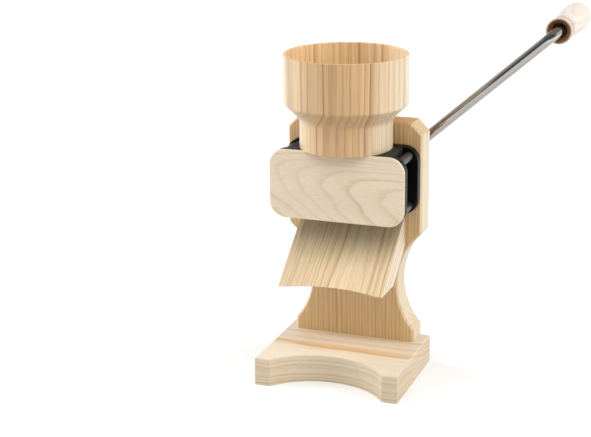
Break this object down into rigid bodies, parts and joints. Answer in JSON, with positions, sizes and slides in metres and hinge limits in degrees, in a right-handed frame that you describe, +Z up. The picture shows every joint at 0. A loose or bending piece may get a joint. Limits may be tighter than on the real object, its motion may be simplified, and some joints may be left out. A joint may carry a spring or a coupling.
{
  "type": "hand crank grain flaker",
  "caption": "wooden hand crank grain flaker: turned hopper over geared steel rollers, bent steel crank with turned grip, sloping chute over a notched base",
  "frame": {"origin": "middle of the base's footprint, on the table plane", "axes": "+X to the right as seen from the bowl side, +Y from the bowl side towards the crank side, +Z up"},
  "size_m": [0.2622, 0.2495, 0.3401],
  "materials": {
    "ash_board": "oiled",
    "ash_base": "oiled",
    "ash_turned": "oiled",
    "birch_panel": "oiled",
    "beech_dowel": "raw",
    "maple_grip": "oiled",
    "black_plate": "satin",
    "black_post": "satin",
    "black_plastic": "matt",
    "roller_steel": "ground",
    "gear_steel": "machined",
    "rod_steel": "polished",
    "bush_bronze": "machined",
    "screw_steel": "plated"
  },
  "bodies": {
    "frame": {"base_front_board": "ash_base", "base_rear_board": "ash_base", "upright": "ash_board", "chute_board": "ash_board", "chute_dowels": "beech_dowel", "base_screws": "screw_steel", "front_panel": "birch_panel", "front_plate": "black_plate", "rear_plate": "black_plate", "spacer_posts": "black_post", "plate_screws": "screw_steel", "mounting_bolts": "screw_steel", "right_guide": "black_plastic", "left_guide": "black_plastic", "front_bushes": "bush_bronze", "rear_bushes": "bush_bronze"},
    "crank": {"drive_roller": "roller_steel", "drive_shaft": "gear_steel", "drive_gear": "gear_steel", "crank_hub": "gear_steel", "hub_pin": "screw_steel", "crank_set_screw": "screw_steel", "crank_rod": "rod_steel", "grip_snap_ring": "screw_steel"},
    "second_roller": {"driven_roller": "roller_steel", "driven_shaft": "gear_steel", "driven_gear": "gear_steel"},
    "handle": {"grip": "maple_grip", "grip_bush": "black_plastic"},
    "hopper": {"hopper": "ash_turned"}
  },
  "joints": [
    {"name": "crank_spin", "type": "hinge", "parent": "frame", "child": "crank", "pos_m": [0.024, 0, 0.1905], "axis": [0, 1, 0], "continuous": true},
    {"name": "roller_spin", "type": "hinge", "parent": "frame", "child": "second_roller", "pos_m": [-0.024, 0, 0.1905], "axis": [0, 1, 0], "continuous": true},
    {"name": "grip_spin", "type": "hinge", "parent": "crank", "child": "handle", "pos_m": [0.17839, 0.084, 0.32628], "axis": [0, 1, 0], "continuous": true},
    {"name": "hopper_lift", "type": "slide", "parent": "frame", "child": "hopper", "axis": [0, 0, 1], "range_m": [0, 0.06]}
  ],
  "couplings": [
    {"joint": "roller_spin", "follows": "crank_spin", "ratio": -1}
  ]
}
